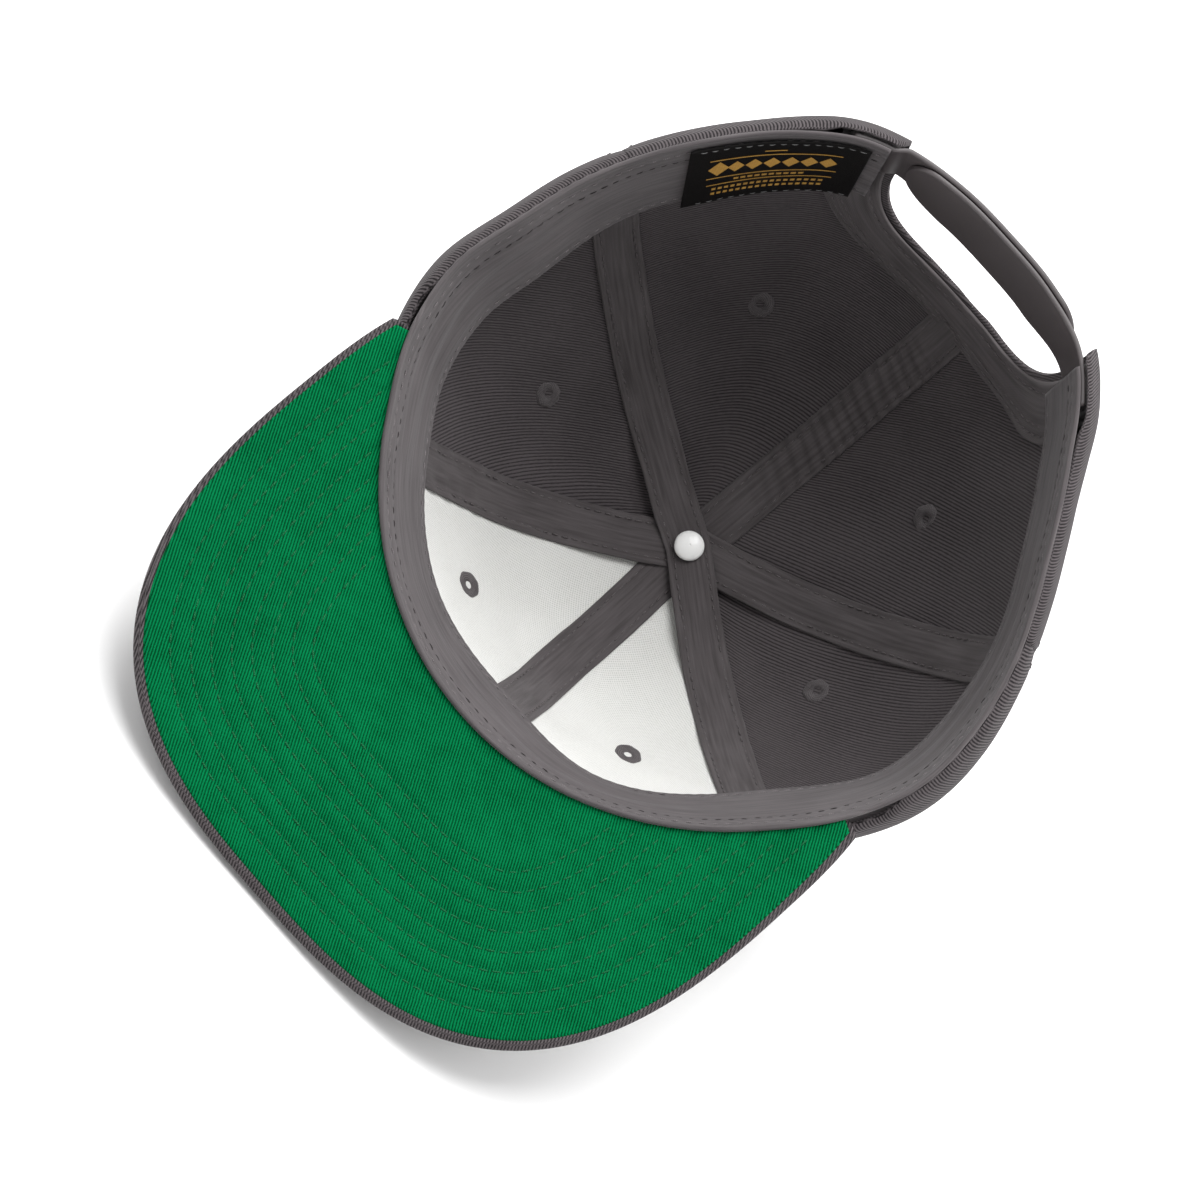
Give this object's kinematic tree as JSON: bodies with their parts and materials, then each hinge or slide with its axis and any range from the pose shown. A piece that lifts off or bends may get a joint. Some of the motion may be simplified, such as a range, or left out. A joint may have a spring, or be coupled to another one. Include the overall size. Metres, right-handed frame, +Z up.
{
  "type": "snapback cap",
  "caption": "Snapback cap lying upside down: six-panel crown with a white front, green undervisor, sweatband, seam tapes and a fastened plastic strap.",
  "frame": {"origin": "on the floor, under the centre of the cap's bounding box as it lies", "axes": "+Z up, -Y towards the visor, +Y towards the back opening; the cap lies upside down with its hollow facing up and towards the visor, and the wearer's right side is towards +X"},
  "size_m": [0.1892, 0.233, 0.1684],
  "materials": {
    "charcoal_twill": "matte cotton twill",
    "charcoal_lining": "matte plain weave",
    "white_cloth": "matte twill on open buckram",
    "green_twill": "matte cotton twill",
    "black_satin": "satin woven label",
    "white_enamel": "gloss enamel",
    "charcoal_plastic": "matte moulded"
  },
  "bodies": {
    "root": {"front_panel_right": "white_cloth", "front_panel_left": "white_cloth", "side_panel_right": "charcoal_twill", "side_panel_left": "charcoal_twill", "back_panel_right": "charcoal_twill", "back_panel_left": "charcoal_twill", "eyelet_front_right": "charcoal_lining", "eyelet_side_right": "charcoal_lining", "eyelet_back_right": "charcoal_lining", "eyelet_back_left": "charcoal_lining", "eyelet_side_left": "charcoal_lining", "eyelet_front_left": "charcoal_lining", "top_button": "charcoal_twill", "button_rivet": "white_enamel", "seam_tape_front_back": "charcoal_lining", "seam_tape_left_front": "charcoal_lining", "seam_tape_right_front": "charcoal_lining", "sweatband": "charcoal_lining", "label": "black_satin", "opening_binding": "charcoal_lining", "visor_top": "charcoal_twill", "undervisor": "green_twill", "strap_right": "charcoal_plastic", "strap_left": "charcoal_plastic"}
  },
  "joints": []
}
